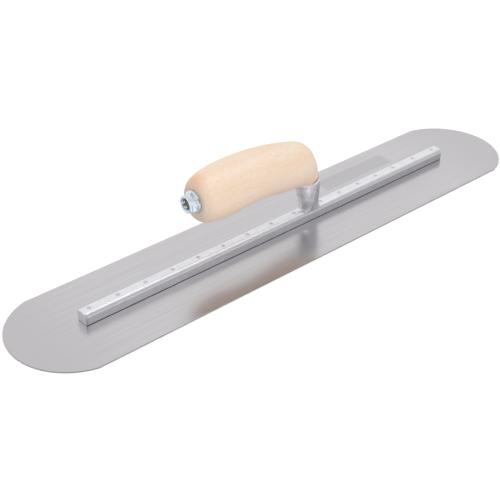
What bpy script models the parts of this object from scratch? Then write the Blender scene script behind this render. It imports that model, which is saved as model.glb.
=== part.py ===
"""Steel finishing trowel: a thin spring-steel blade with rounded ends, riveted under a long
cast aluminium mounting whose post carries a curved wooden handle.  A threaded tang rod runs
from the lug on top of the post through the handle, and a flange nut at the rear end of the
handle clamps it.

Frame: origin at the centre of the blade's underside, +X along the blade towards the nose of
the handle, +Y across the blade, +Z up.  Lengths are in metres.
"""
import math

import bmesh
import bpy
from mathutils import Matrix, Vector

# ---------------------------------------------------------------- driving dimensions
OBJECT_NAME = "steel_finishing_trowel"
GAP = 0.0003                     # clearance between pieces that touch

BLADE_LENGTH = 0.508             # 20 in
BLADE_WIDTH = 0.1016             # 4 in
BLADE_THICKNESS = 0.0008
BLADE_END_RADIUS = 0.0525        # a little more than half the width, so a faint corner is left
BLADE_END_STEPS = 40

BAR_REAR_X = -0.1960             # rear end of the mounting bar
BAR_FRONT_X = 0.1930
BAR_HEIGHT = 0.0100
BAR_HALF_WIDTH = 0.0061
BAR_TOP_HALF_WIDTH = 0.0035
BAR_STEP_HEIGHT = 0.0070         # where the parting line of the casting runs
BAR_STEP = 0.0003
BAR_REAR_BULGE = 0.0010          # the rear end is slightly convex in plan
BAR_REAR_CORNER = 0.0012

RIVET_RADIUS = 0.0015
RIVET_RECESS = 0.00015           # rivet tops sit just below the top of the bar
RIVET_FOOT_LIFT = 0.00005        # rivet feet are ground just inside the blade's underside
RIVET_HEAD_RADIUS = 0.0025       # countersunk into the blade from below
RIVET_SIDES = 20
REAR_RIVETS = 9
REAR_RIVET_FIRST_X = -0.1890
REAR_RIVET_PITCH = 0.0254        # 1 in
FRONT_RIVET_X = (0.0440, 0.0665, 0.0890, 0.1115, 0.1340, 0.1600, 0.1855)

POST_CENTRE_X = 0.0303
# height above the blade, shift of the centre along X, half length, half width
POST_SECTIONS = (
    (0.0040, 0.0000, 0.0116, 0.00590),
    (0.0088, 0.0000, 0.0114, 0.00595),
    (0.0104, 0.0000, 0.0106, 0.00590),
    (0.0130, 0.0000, 0.0097, 0.00585),
    (0.0180, 0.0000, 0.0098, 0.00600),
    (0.0230, -0.0003, 0.0106, 0.00650),
    (0.0280, -0.0011, 0.0112, 0.00715),
    (0.0325, -0.0021, 0.0117, 0.00790),
    (0.0352, -0.0026, 0.0119, 0.00850),
    (0.0375, -0.0031, 0.0112, 0.00840),
    (0.0430, -0.0040, 0.0106, 0.00800),
)
POST_SIDES = 40
POST_SQUARENESS = 2.5            # exponent of the superellipse section

SEAT_HEIGHT = 0.0370             # underside of the handle's nose, above the blade
SEAT_BREAK_X = 0.0245            # in front of this the seat rises into a lip
SEAT_SLOPE = 0.35                # rise of the lip for each unit along X
SEAT_REAR_X = -0.0100            # the blocks that cut the seat run between these two
SEAT_FRONT_X = 0.0600
LUG_CENTRE_X = 0.0222            # oval lug on the post, hidden in the nose of the handle
LUG_LENGTH = 0.0116
LUG_WIDTH = 0.0136
LUG_TOP = 0.0635                 # above the blade
LUG_SIDES = 32
LUG_OVERLAP = 0.0010             # the lug starts this far below the seat

TANG_TILT = math.radians(2.0)    # the rod rises a little towards the rear
NUT_FACE_X = -0.0981             # centre of the nut's outer face
NUT_FACE_HEIGHT = 0.0620         # above the blade
TANG_RADIUS = 0.0046             # 3/8 in stud over the worn thread crests
TANG_FRONT_X = 0.0232
TANG_RECESS = 0.0038             # the rod ends this far inside the nut
TANG_CHAMFER = 0.0006
TANG_SIDES = 32

NUT_LENGTH = 0.0081
NUT_FLANGE_RADIUS = 0.0093
NUT_FLANGE_THICKNESS = 0.0014
NUT_HEX_FLATS = 0.0144           # across the flats
NUT_HEX_END = 0.0064             # the full hexagon ends here, measured from the handle
NUT_CROWN_FLATS = 0.0131
NUT_CROWN_OVERLAP = 0.0010
NUT_TURN = math.radians(30.0)    # puts a corner of the hexagon at the top

HANDLE_END_RADIUS = 0.0112       # flat rear end, square to the tang rod
REAR_SQUARENESS = 2.4            # exponent of the superellipse that rounds the rear end
REAR_STEPS = 10
CROWN_X = -0.0500                # highest and widest place of the handle
CROWN_HEIGHT = 0.0854            # above the blade
CROWN_HALF_WIDTH = 0.0178
BACK_RADIUS = 0.2300             # the back falls towards the nose along this arc
BACK_STEPS = 14
BELLY_X = -0.0660                # lowest place of the rear half
BELLY_HEIGHT = 0.0396
FINGER_HOLLOW = 0.0032           # the underside arches up by this between belly and heel
HEEL_X = 0.0080                  # the underside comes down to the post here
HEEL_HEIGHT = 0.0373
SHOULDER_X = 0.0165              # the back turns down into the nose here
SHOULDER_HALF_WIDTH = 0.0153
NOSE_FRONT_X = 0.0379
NOSE_FRONT_SLOPE = math.radians(80.0)
NOSE_REAR_X = 0.0170
NOSE_HALF_WIDTH = 0.0099
NOSE_STEPS = 14
NOSE_TRIM = 0.0006               # the nose is made this much too long, then cut along the seat
HANDLE_SIDES = 40
HANDLE_SQUARENESS = 2.2
BORE_RADIUS = TANG_RADIUS + 0.0006
CUT_PAST = 0.0020                # cutters run this far past the faces they open

# name: base colour, metallic, roughness
MATERIALS = {
    "blade_steel": ((0.58, 0.57, 0.57, 1.0), 1.0, 0.34),
    "cast_aluminium": ((0.72, 0.73, 0.75, 1.0), 1.0, 0.38),
    "rivet_steel": ((0.50, 0.50, 0.52, 1.0), 1.0, 0.40),
    "handle_wood": ((0.80, 0.62, 0.42, 1.0), 0.0, 0.55),
    "yellow_zinc": ((0.55, 0.48, 0.18, 1.0), 1.0, 0.40),
    "bright_zinc": ((0.70, 0.76, 0.82, 1.0), 1.0, 0.28),
}


# ---------------------------------------------------------------- scene and helpers
def clear_scene():
    for old in list(bpy.data.objects):
        bpy.data.objects.remove(old, do_unlink=True)
    for old in list(bpy.data.collections):
        bpy.data.collections.remove(old)


def make_material(name):
    colour, metallic, roughness = MATERIALS[name]
    material = bpy.data.materials.new(name)
    material.use_nodes = True
    shader = material.node_tree.nodes["Principled BSDF"]
    shader.inputs["Base Color"].default_value = colour
    shader.inputs["Metallic"].default_value = metallic
    shader.inputs["Roughness"].default_value = roughness
    material.diffuse_color = colour
    return material


def make_collection(name, parent=None):
    collection = bpy.data.collections.new(name)
    (parent or bpy.context.scene.collection).children.link(collection)
    return collection


def make_object(name, mesh, collection, material=None, smooth_angle=30.0):
    piece = bpy.data.objects.new(name, mesh)
    collection.objects.link(piece)
    if material:
        piece.data.materials.append(material)
    if smooth_angle:
        for face in mesh.polygons:
            face.use_smooth = True
        mesh.set_sharp_from_angle(angle=math.radians(smooth_angle))
    if collection.name.startswith("cutters"):
        piece.hide_render = True
        piece.display_type = "WIRE"
    return piece


def mesh_from(name, points, faces):
    mesh = bpy.data.meshes.new(name)
    mesh.from_pydata(points, [], faces)
    mesh.validate()
    return mesh


def make_boolean(piece, cutter, operation):
    modifier = piece.modifiers.new(f"{operation.lower()}_{cutter.name}", "BOOLEAN")
    modifier.operation = operation
    modifier.solver = "EXACT"
    if isinstance(cutter, bpy.types.Collection):
        modifier.operand_type = "COLLECTION"
        modifier.collection = cutter
    else:
        modifier.object = cutter
    return modifier


def solidify(piece, thickness):
    modifier = piece.modifiers.new("thickness", "SOLIDIFY")
    modifier.thickness = thickness
    modifier.offset = 1.0
    modifier.use_even_offset = False
    return modifier


def arc_points(centre, radius, start, end, steps):
    """Points of a circular arc, both ends included."""
    points = []
    for i in range(steps + 1):
        angle = start + (end - start) * i / steps
        points.append((centre[0] + radius * math.cos(angle), centre[1] + radius * math.sin(angle)))
    return points


def lathe(name, profile, sides, collection, material=None, centre_x=0.0):
    """Solid of revolution about Z.  The profile runs from the top centre down the outer side."""
    points = [(radius, 0.0, height) for radius, height in profile]
    edges = [(i, i + 1) for i in range(len(points) - 1)]
    mesh = bpy.data.meshes.new(name)
    mesh.from_pydata(points, edges, [])
    piece = make_object(name, mesh, collection, material, smooth_angle=None)
    piece.location = (centre_x, 0.0, 0.0)
    screw = piece.modifiers.new("turn", "SCREW")
    screw.axis = "Z"
    screw.angle = math.tau
    screw.steps = sides
    screw.render_steps = sides
    screw.use_merge_vertices = True
    screw.merge_threshold = 0.00001
    screw.use_smooth_shade = False
    return piece


def superellipse(angle, half_u, half_v, squareness):
    """Point of a superellipse, as distances along its two axes."""
    power = 2.0 / squareness
    cosine = math.cos(angle)
    sine = math.sin(angle)
    u = half_u * math.copysign(abs(cosine) ** power, cosine)
    v = half_v * math.copysign(abs(sine) ** power, sine)
    return u, v


def loft(name, rings, collection, material=None):
    """Closed skin over rings that all have the same number of points."""
    count = len(rings[0])
    points = [point for ring in rings for point in ring]
    faces = []
    for i in range(len(rings) - 1):
        low = i * count
        high = low + count
        for j in range(count):
            k = (j + 1) % count
            faces.append((low + j, low + k, high + k, high + j))
    faces.append(tuple(reversed(range(count))))
    faces.append(tuple(range(len(points) - count, len(points))))
    mesh = mesh_from(name, points, faces)
    shell = bmesh.new()
    shell.from_mesh(mesh)
    bmesh.ops.recalc_face_normals(shell, faces=shell.faces)
    shell.to_mesh(mesh)
    shell.free()
    return make_object(name, mesh, collection, material)


def blend(first, second, share):
    return first + (second - first) * share


# ---------------------------------------------------------------- shared positions
def rivet_positions():
    rear = [REAR_RIVET_FIRST_X + i * REAR_RIVET_PITCH for i in range(REAR_RIVETS)]
    return rear + list(FRONT_RIVET_X)


def tang_frame(distance):
    """Matrix of a frame on the tang axis, Z pointing to the rear.

    The distance is measured from the nut's outer face, positive towards the nose.
    """
    direction = Vector((-math.cos(TANG_TILT), 0.0, math.sin(TANG_TILT)))
    face = Vector((NUT_FACE_X, 0.0, BLADE_THICKNESS + NUT_FACE_HEIGHT))
    turn = Matrix.Rotation(-(math.pi / 2 - TANG_TILT), 4, "Y")
    return Matrix.Translation(face - direction * distance) @ turn


def tang_distance(x):
    return (x - NUT_FACE_X) / math.cos(TANG_TILT)


# ---------------------------------------------------------------- blade
def blade_outline():
    """Stadium outline whose end arcs are a little flatter than half circles."""
    half_width = BLADE_WIDTH / 2
    centre_x = BLADE_LENGTH / 2 - BLADE_END_RADIUS
    half_angle = math.asin(half_width / BLADE_END_RADIUS)
    right = arc_points((centre_x, 0.0), BLADE_END_RADIUS, -half_angle, half_angle, BLADE_END_STEPS)
    left = [(-x, -y) for x, y in right]
    return right + left


def make_blade(collection, material, holes):
    outline = [(x, y, 0.0) for x, y in blade_outline()]
    mesh = mesh_from("blade", outline, [tuple(range(len(outline)))])
    blade = make_object("blade", mesh, collection, material, smooth_angle=None)
    solidify(blade, BLADE_THICKNESS)
    make_boolean(blade, holes, "DIFFERENCE")
    return blade


# ---------------------------------------------------------------- mounting
def bar_profile():
    """Half section of the bar as (y, height above the blade), from the foot to the top."""
    shoulder_y = BAR_HALF_WIDTH - BAR_STEP
    run = shoulder_y - BAR_TOP_HALF_WIDTH
    rise = BAR_HEIGHT - BAR_STEP_HEIGHT
    points = [(BAR_HALF_WIDTH, GAP), (BAR_HALF_WIDTH, BAR_STEP_HEIGHT)]
    for i in range(5):
        angle = math.radians(90.0) * i / 4
        bulge_y = BAR_TOP_HALF_WIDTH + run * math.cos(angle)
        bulge_z = BAR_STEP_HEIGHT + rise * math.sin(angle)
        flat_y = shoulder_y - run * i / 4
        flat_z = BAR_STEP_HEIGHT + rise * i / 4
        points.append(((bulge_y + flat_y) / 2, (bulge_z + flat_z) / 2))
    return points


def make_bar(collection, cutters, material):
    half = bar_profile()
    section = half + [(-y, z) for y, z in reversed(half)]
    length = BAR_FRONT_X - BAR_REAR_X
    points = [(BAR_REAR_X, y, BLADE_THICKNESS + z) for y, z in section]
    mesh = mesh_from("mounting", points, [tuple(range(len(points)))])
    bar = make_object("mounting", mesh, collection, material, smooth_angle=None)
    solidify(bar, length)
    make_boolean(bar, make_bar_plan(cutters), "INTERSECT")
    return bar


def make_bar_plan(cutters):
    """Block with the bar's outline in plan: a softly rounded rear end, a square front end."""
    half = BAR_HALF_WIDTH
    reach = BAR_HALF_WIDTH + CUT_PAST
    corner = BAR_REAR_CORNER
    inner = half - corner
    rear = BAR_REAR_X + BAR_REAR_BULGE
    points = [(BAR_FRONT_X, -reach), (BAR_FRONT_X, reach), (rear + corner, reach)]
    points += arc_points((rear + corner, inner), corner, math.radians(90), math.radians(170), 4)
    for i in range(1, 4):
        y = inner * (1 - i / 2)
        points.append((BAR_REAR_X + BAR_REAR_BULGE * (y / inner) ** 2, y))
    points += arc_points((rear + corner, -inner), corner, math.radians(190), math.radians(270), 4)
    points.append((rear + corner, -reach))
    flat = [(x, y, -CUT_PAST) for x, y in points]
    mesh = mesh_from("bar_plan", flat, [tuple(range(len(flat)))])
    plan = make_object("bar_plan", mesh, cutters, smooth_angle=None)
    solidify(plan, BAR_HEIGHT + 3 * CUT_PAST)
    return plan


def make_post(cutters):
    rings = []
    for height, shift, half_length, half_width in POST_SECTIONS:
        ring = []
        for i in range(POST_SIDES):
            angle = math.tau * i / POST_SIDES
            x, y = superellipse(angle, half_length, half_width, POST_SQUARENESS)
            ring.append((POST_CENTRE_X + shift + x, y, BLADE_THICKNESS + height))
        rings.append(ring)
    return loft("post", rings, cutters)


def make_seat_block(name, cutters, lift, far_height):
    """Block between the seat, moved up by a lift, and a level height above the blade."""
    near = SEAT_HEIGHT + lift
    front = near + SEAT_SLOPE * (SEAT_FRONT_X - SEAT_BREAK_X)
    outline = [(SEAT_REAR_X, near), (SEAT_BREAK_X, near), (SEAT_FRONT_X, front),
               (SEAT_FRONT_X, far_height), (SEAT_REAR_X, far_height)]
    if far_height > near:
        outline.reverse()
    reach = CROWN_HALF_WIDTH + CUT_PAST
    points = [(x, -reach, BLADE_THICKNESS + height) for x, height in outline]
    mesh = mesh_from(name, points, [tuple(range(len(points)))])
    block = make_object(name, mesh, cutters, smooth_angle=None)
    solidify(block, 2 * reach)
    return block


def make_lug(name, cutters, bottom, clearance):
    """Oval pillar on top of the post, or the larger pocket for it in the handle."""
    top = BLADE_THICKNESS + LUG_TOP + clearance
    size = (LUG_LENGTH / 2 + clearance, LUG_WIDTH / 2 + clearance, top - bottom)
    mesh = bpy.data.meshes.new(name)
    shape = bmesh.new()
    bmesh.ops.create_cone(shape, cap_ends=True, segments=LUG_SIDES, radius1=1.0, radius2=1.0,
                          depth=1.0, matrix=Matrix.Diagonal((*size, 1.0)))
    shape.to_mesh(mesh)
    shape.free()
    lug = make_object(name, mesh, cutters, smooth_angle=None)
    lug.location = (LUG_CENTRE_X, 0.0, (top + bottom) / 2)
    return lug


def make_mounting(collection, cutters, material, holes):
    mounting = make_bar(collection, cutters, material)
    make_boolean(mounting, make_post(cutters), "UNION")
    above_seat = make_seat_block("above_seat", cutters, -GAP, CROWN_HEIGHT)
    make_boolean(mounting, above_seat, "DIFFERENCE")
    foot = BLADE_THICKNESS + SEAT_HEIGHT - LUG_OVERLAP
    make_boolean(mounting, make_lug("lug", cutters, foot, 0.0), "UNION")
    socket_end = tang_distance(TANG_FRONT_X) + GAP
    socket = make_rod_shape("tang_socket", cutters, TANG_RADIUS + GAP, 0.0, socket_end, 0.0)
    make_boolean(mounting, socket, "DIFFERENCE")
    make_boolean(mounting, holes, "DIFFERENCE")
    return mounting


# ---------------------------------------------------------------- rivets
def rivet_profile(clearance):
    """Rivet from its top down to the countersunk foot, or the larger hole for it."""
    radius = RIVET_RADIUS + clearance
    head = RIVET_HEAD_RADIUS + clearance
    top = BLADE_THICKNESS + BAR_HEIGHT - RIVET_RECESS
    foot = RIVET_FOOT_LIFT
    if clearance:
        top += CUT_PAST
        foot = -CUT_PAST
    neck = BLADE_THICKNESS
    return [(0.0, top), (radius, top), (radius, neck), (head, RIVET_FOOT_LIFT), (head, foot),
            (0.0, foot)]


def make_rivets(collection, material):
    profile = rivet_profile(0.0)
    outline = [point for i, point in enumerate(profile) if i != len(profile) - 2]
    first = None
    for i, x in enumerate(rivet_positions()):
        rivet = lathe(f"rivet_{i + 1:02d}", outline, RIVET_SIDES, collection, material, x)
        if first:
            rivet.data = first.data
        first = first or rivet


def make_rivet_holes(holes):
    for i, x in enumerate(rivet_positions()):
        lathe(f"rivet_hole_{i + 1:02d}", rivet_profile(GAP), RIVET_SIDES, holes, None, x)


# ---------------------------------------------------------------- tang rod and nut
def make_rod_shape(name, collection, radius, start, end, chamfer, material=None):
    """Round bar on the tang axis between two distances from the nut's outer face."""
    profile = [(0.0, -start), (radius - chamfer, -start)]
    if chamfer:
        profile += [(radius, -start - chamfer), (radius, -end + chamfer)]
    profile += [(radius - chamfer, -end), (0.0, -end)]
    rod = lathe(name, profile, TANG_SIDES, collection, material)
    rod.matrix_world = tang_frame(0.0)
    return rod


def make_tang_rod(collection, material):
    end = tang_distance(TANG_FRONT_X)
    return make_rod_shape("tang_rod", collection, TANG_RADIUS, TANG_RECESS, end, TANG_CHAMFER,
                          material)


def make_hexagon(name, collection, flats, bottom, top, turn, material=None):
    mesh = bpy.data.meshes.new(name)
    shape = bmesh.new()
    radius = flats / math.sqrt(3)
    place = Matrix.Translation((0, 0, (bottom + top) / 2)) @ Matrix.Rotation(turn, 4, "Z")
    bmesh.ops.create_cone(shape, cap_ends=True, segments=6, radius1=radius, radius2=radius,
                          depth=top - bottom, matrix=place)
    shape.to_mesh(mesh)
    shape.free()
    piece = make_object(name, mesh, collection, material, smooth_angle=None)
    piece.matrix_world = tang_frame(0.0)
    return piece


def make_nut(collection, cutters, material):
    """Flange nut: round flange on the wood, full hexagon, then a smaller hexagonal crown."""
    bottom = -NUT_LENGTH
    hex_top = bottom + NUT_HEX_END
    nut = make_hexagon("handle_nut", collection, NUT_HEX_FLATS, bottom, hex_top, NUT_TURN, material)
    crown = make_hexagon("nut_crown", cutters, NUT_CROWN_FLATS, hex_top - NUT_CROWN_OVERLAP, 0.0,
                         NUT_TURN)
    rim = bottom + NUT_FLANGE_THICKNESS
    flange_profile = [(0.0, rim + 0.0004), (NUT_FLANGE_RADIUS - 0.0012, rim + 0.0004),
                      (NUT_FLANGE_RADIUS, rim - 0.0003), (NUT_FLANGE_RADIUS, bottom),
                      (0.0, bottom)]
    flange = lathe("nut_flange", flange_profile, TANG_SIDES, cutters)
    flange.matrix_world = tang_frame(0.0)
    bore = make_rod_shape("nut_bore", cutters, TANG_RADIUS + GAP, -CUT_PAST,
                          NUT_LENGTH + CUT_PAST, 0.0)
    make_boolean(nut, flange, "UNION")
    make_boolean(nut, crown, "UNION")
    make_boolean(nut, bore, "DIFFERENCE")
    return nut


# ---------------------------------------------------------------- handle
def handle_section(top, bottom, half_width):
    """Centre, half height vector and half width from two (x, height above the blade) points."""
    high = Vector((top[0], 0.0, BLADE_THICKNESS + top[1]))
    low = Vector((bottom[0], 0.0, BLADE_THICKNESS + bottom[1]))
    return (high + low) / 2, (high - low) / 2, half_width


def rear_section(share):
    """Section of the rounded rear end, from the flat end face to the crown and the belly."""
    turn = math.radians(90.0) * share
    forward = 1.0 - math.cos(turn) ** (2.0 / REAR_SQUARENESS)
    outward = math.sin(turn) ** (2.0 / REAR_SQUARENESS)
    end = tang_frame(NUT_LENGTH + GAP)
    high = end @ Vector((HANDLE_END_RADIUS, 0.0, 0.0))
    low = end @ Vector((-HANDLE_END_RADIUS, 0.0, 0.0))
    top = (blend(high.x, CROWN_X, forward),
           blend(high.z - BLADE_THICKNESS, CROWN_HEIGHT, outward))
    bottom = (blend(low.x, BELLY_X, forward),
              blend(low.z - BLADE_THICKNESS, BELLY_HEIGHT, outward))
    return handle_section(top, bottom, blend(HANDLE_END_RADIUS, CROWN_HALF_WIDTH, outward))


def back_height(x):
    """Height of the back in front of the crown, and how steeply it falls there."""
    run = x - CROWN_X
    rise = math.sqrt(BACK_RADIUS ** 2 - run ** 2)
    return CROWN_HEIGHT - BACK_RADIUS + rise, run / rise


def back_section(share):
    """Section of the grip between the crown and the shoulder."""
    top_x = blend(CROWN_X, SHOULDER_X, share)
    ease = share * share * (3.0 - 2.0 * share)
    hollow = FINGER_HOLLOW * math.sin(math.pi * share) ** 2
    bottom = (blend(BELLY_X, HEEL_X, share), blend(BELLY_HEIGHT, HEEL_HEIGHT, ease) + hollow)
    half_width = blend(CROWN_HALF_WIDTH, SHOULDER_HALF_WIDTH, share ** 2)
    return handle_section((top_x, back_height(top_x)[0]), bottom, half_width)


def nose_section(share):
    """Section of the nose, which turns from the shoulder down onto the seat."""
    shoulder_height, fall = back_height(SHOULDER_X)
    foot = SEAT_HEIGHT - NOSE_TRIM
    steep = math.tan(NOSE_FRONT_SLOPE)
    corner_x = (foot + steep * NOSE_FRONT_X - shoulder_height - fall * SHOULDER_X) / (steep - fall)
    corner = Vector((corner_x, foot + steep * (NOSE_FRONT_X - corner_x)))
    start = Vector((SHOULDER_X, shoulder_height))
    end = Vector((NOSE_FRONT_X, foot))
    top = start.lerp(corner, share).lerp(corner.lerp(end, share), share)
    bottom = (blend(HEEL_X, NOSE_REAR_X, share), blend(HEEL_HEIGHT, foot, share))
    narrowing = 0.35 * share + 0.65 * share ** 2.5
    return handle_section(top, bottom, blend(SHOULDER_HALF_WIDTH, NOSE_HALF_WIDTH, narrowing))


def handle_sections():
    """All sections as centre, half height vector and half width, the flat rear end first."""
    sections = [rear_section(i / REAR_STEPS) for i in range(REAR_STEPS)]
    sections += [back_section(i / BACK_STEPS) for i in range(BACK_STEPS)]
    sections += [nose_section(i / NOSE_STEPS) for i in range(NOSE_STEPS + 1)]
    return sections


def handle_ring(centre, up, half_width):
    """Section of the handle: a superellipse stood up along its half height vector."""
    ring = []
    for i in range(HANDLE_SIDES):
        across, along = superellipse(math.tau * i / HANDLE_SIDES, half_width, 1.0,
                                     HANDLE_SQUARENESS)
        ring.append(centre + up * along + Vector((0.0, across, 0.0)))
    return ring


def make_handle(collection, cutters, material):
    rings = [handle_ring(*section) for section in handle_sections()]
    handle = loft("handle", rings, collection, material)
    make_boolean(handle, make_seat_block("below_seat", cutters, 0.0, 0.0), "DIFFERENCE")
    mouth = BLADE_THICKNESS + SEAT_HEIGHT - CUT_PAST
    pocket = make_lug("lug_pocket", cutters, mouth, GAP)
    bore_end = tang_distance(LUG_CENTRE_X)
    bore = make_rod_shape("handle_bore", cutters, BORE_RADIUS, 0.0, bore_end, 0.0)
    make_boolean(handle, pocket, "DIFFERENCE")
    make_boolean(handle, bore, "DIFFERENCE")
    return handle


# ---------------------------------------------------------------- assembly
def build():
    clear_scene()
    parts = make_collection(OBJECT_NAME)
    cutters = make_collection("cutters")
    holes = make_collection("cutters_rivet_holes", cutters)
    materials = {name: make_material(name) for name in MATERIALS}
    make_rivet_holes(holes)
    make_blade(parts, materials["blade_steel"], holes)
    make_mounting(parts, cutters, materials["cast_aluminium"], holes)
    make_rivets(parts, materials["rivet_steel"])
    make_handle(parts, cutters, materials["handle_wood"])
    make_tang_rod(parts, materials["yellow_zinc"])
    make_nut(parts, cutters, materials["bright_zinc"])


build()
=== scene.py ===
"""Looks of the steel finishing trowel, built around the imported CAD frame.

Every visible piece is modelled finely here and stands for one CAD node: the blade, the cast
mounting, its rivets, the wooden handle, the threaded tang rod and the flange nut.
Lengths are in metres, in the frame's own axes: +X along the blade towards the nose of the
handle, +Y across it, +Z up from the blade's underside.
"""
import math

import bmesh
import bpy
from mathutils import Matrix, Vector, noise


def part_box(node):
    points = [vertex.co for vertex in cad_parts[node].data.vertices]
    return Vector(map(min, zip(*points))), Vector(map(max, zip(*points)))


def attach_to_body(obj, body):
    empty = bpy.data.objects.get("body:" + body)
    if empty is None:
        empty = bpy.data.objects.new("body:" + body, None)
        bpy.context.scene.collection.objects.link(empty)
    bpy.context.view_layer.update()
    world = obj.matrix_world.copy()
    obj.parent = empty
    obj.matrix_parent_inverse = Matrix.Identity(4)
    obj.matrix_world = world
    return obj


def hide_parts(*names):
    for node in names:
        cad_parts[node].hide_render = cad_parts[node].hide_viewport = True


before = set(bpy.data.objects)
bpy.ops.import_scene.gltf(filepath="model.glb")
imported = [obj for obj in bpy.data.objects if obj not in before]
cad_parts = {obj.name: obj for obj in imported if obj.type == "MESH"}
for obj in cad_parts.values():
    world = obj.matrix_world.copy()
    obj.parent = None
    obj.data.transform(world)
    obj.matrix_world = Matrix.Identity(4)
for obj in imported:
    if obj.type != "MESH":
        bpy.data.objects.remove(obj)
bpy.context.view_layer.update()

MM = 0.001
GAP = 0.0003                     # clearance between pieces that touch
BLADE_LOW, BLADE_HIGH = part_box("blade")
BLADE_TOP = BLADE_HIGH.z
BAR_LOW, BAR_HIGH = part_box("mounting")
NUT_LOW, NUT_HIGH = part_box("handle_nut")
ROD_LOW, ROD_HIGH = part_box("tang_rod")
RIVET_NODES = sorted(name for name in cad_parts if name.startswith("rivet_"))


# ---------------------------------------------------------------- mesh helpers
def new_mesh(name, points, faces):
    mesh = bpy.data.meshes.new(name)
    mesh.from_pydata([tuple(point) for point in points], [], faces)
    shell = bmesh.new()
    shell.from_mesh(mesh)
    bmesh.ops.recalc_face_normals(shell, faces=shell.faces)
    shell.to_mesh(mesh)
    shell.free()
    return mesh


def new_object(name, mesh):
    piece = bpy.data.objects.new(name, mesh)
    bpy.context.scene.collection.objects.link(piece)
    return piece


def shade(piece, angle):
    mesh = piece.data
    for face in mesh.polygons:
        face.use_smooth = True
    mesh.set_sharp_from_angle(angle=math.radians(angle))


def loft(name, rings):
    """Closed skin over rings that all have the same number of points."""
    count = len(rings[0])
    points = [point for ring in rings for point in ring]
    faces = []
    for i in range(len(rings) - 1):
        low = i * count
        high = low + count
        for j in range(count):
            k = (j + 1) % count
            faces.append((low + j, low + k, high + k, high + j))
    faces.append(tuple(reversed(range(count))))
    faces.append(tuple(range(len(points) - count, len(points))))
    return new_object(name, new_mesh(name, points, faces))


def lathe(name, profile, sides, place=Matrix.Identity(4)):
    """Solid of revolution about Z.  The profile goes from the axis round to the axis."""
    rings = []
    for radius, height in profile[1:-1]:
        ring = []
        for i in range(sides):
            angle = math.tau * i / sides
            ring.append((radius * math.cos(angle), radius * math.sin(angle), height))
        rings.append(ring)
    points = [(0.0, 0.0, profile[0][1])] + [p for ring in rings for p in ring]
    points.append((0.0, 0.0, profile[-1][1]))
    faces = []
    last = 1 + (len(rings) - 1) * sides
    for j in range(sides):
        k = (j + 1) % sides
        faces.append((0, 1 + j, 1 + k))
        faces.append((len(points) - 1, last + k, last + j))
        for i in range(len(rings) - 1):
            low = 1 + i * sides
            faces.append((low + j, low + sides + j, low + sides + k, low + k))
    mesh = new_mesh(name, points, faces)
    mesh.transform(place)
    return new_object(name, mesh)


def combine(piece, others, operation):
    """Applies exact Booleans one after another, then removes the other objects."""
    for other in others:
        modifier = piece.modifiers.new("cut", "BOOLEAN")
        modifier.operation = operation
        modifier.solver = "EXACT"
        modifier.object = other
    bpy.context.view_layer.update()
    graph = bpy.context.evaluated_depsgraph_get()
    mesh = bpy.data.meshes.new_from_object(piece.evaluated_get(graph))
    piece.modifiers.clear()
    mesh.name = piece.name
    piece.data = mesh
    for other in others:
        bpy.data.objects.remove(other, do_unlink=True)
    return piece


def join_meshes(name, pieces):
    """One object made of several that don't touch, such as a set of cutters."""
    shell = bmesh.new()
    for piece in pieces:
        shell.from_mesh(piece.data)
        bpy.data.objects.remove(piece, do_unlink=True)
    mesh = bpy.data.meshes.new(name)
    shell.to_mesh(mesh)
    shell.free()
    return new_object(name, mesh)


def superellipse(angle, half_u, half_v, squareness):
    power = 2.0 / squareness
    cosine = math.cos(angle)
    sine = math.sin(angle)
    u = half_u * math.copysign(abs(cosine) ** power, cosine)
    v = half_v * math.copysign(abs(sine) ** power, sine)
    return u, v


def spline(values, position):
    """Catmull-Rom value at a position counted in steps along a list of values."""
    last = len(values) - 1
    index = max(0, min(int(position), last - 1))
    t = position - index
    here = values[index]
    there = values[index + 1]
    before = values[index - 1] if index > 0 else 2 * here - there
    after = values[index + 2] if index + 2 <= last else 2 * there - here
    return 0.5 * (2 * here + (there - before) * t
                  + (2 * before - 5 * here + 4 * there - after) * t ** 2
                  + (3 * here - before - 3 * there + after) * t ** 3)


def arc(centre, radius, start, end, steps):
    points = []
    for i in range(steps + 1):
        angle = math.radians(start + (end - start) * i / steps)
        points.append((centre[0] + radius * math.cos(angle), centre[1] + radius * math.sin(angle)))
    return points


def ripple(point, size, amount, seed):
    """Smooth signed variation of a surface, of a given feature size."""
    return amount * noise.noise(Vector(point) / size + Vector((seed, 3.7 * seed, -seed)))


def roughen(piece, size, amount, seed, shift=0.0, test=None):
    """Moves the points of a mesh along their normals by a smooth variation and a shift."""
    normals = [vertex.normal.copy() for vertex in piece.data.vertices]
    for vertex, normal in zip(piece.data.vertices, normals):
        if test is None or test(vertex.co):
            vertex.co += normal * (shift + ripple(vertex.co, size, amount, seed))


# ---------------------------------------------------------------- node helpers
def new_material(name):
    material = bpy.data.materials.new(name)
    material.use_nodes = True
    tree = material.node_tree
    shader = tree.nodes["Principled BSDF"]
    place = tree.nodes.new("ShaderNodeTexCoord")
    return material, tree, shader, place.outputs["Object"]


def stretched(tree, vector, scale, offset=(0.0, 0.0, 0.0)):
    node = tree.nodes.new("ShaderNodeMapping")
    node.inputs["Scale"].default_value = scale
    node.inputs["Location"].default_value = offset
    tree.links.new(vector, node.inputs["Vector"])
    return node.outputs["Vector"]


def noise_field(tree, vector, scale, detail=3.0, roughness=0.5, distortion=0.0):
    node = tree.nodes.new("ShaderNodeTexNoise")
    node.inputs["Scale"].default_value = scale
    node.inputs["Detail"].default_value = detail
    node.inputs["Roughness"].default_value = roughness
    node.inputs["Distortion"].default_value = distortion
    tree.links.new(vector, node.inputs["Vector"])
    return node.outputs["Fac"]


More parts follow.
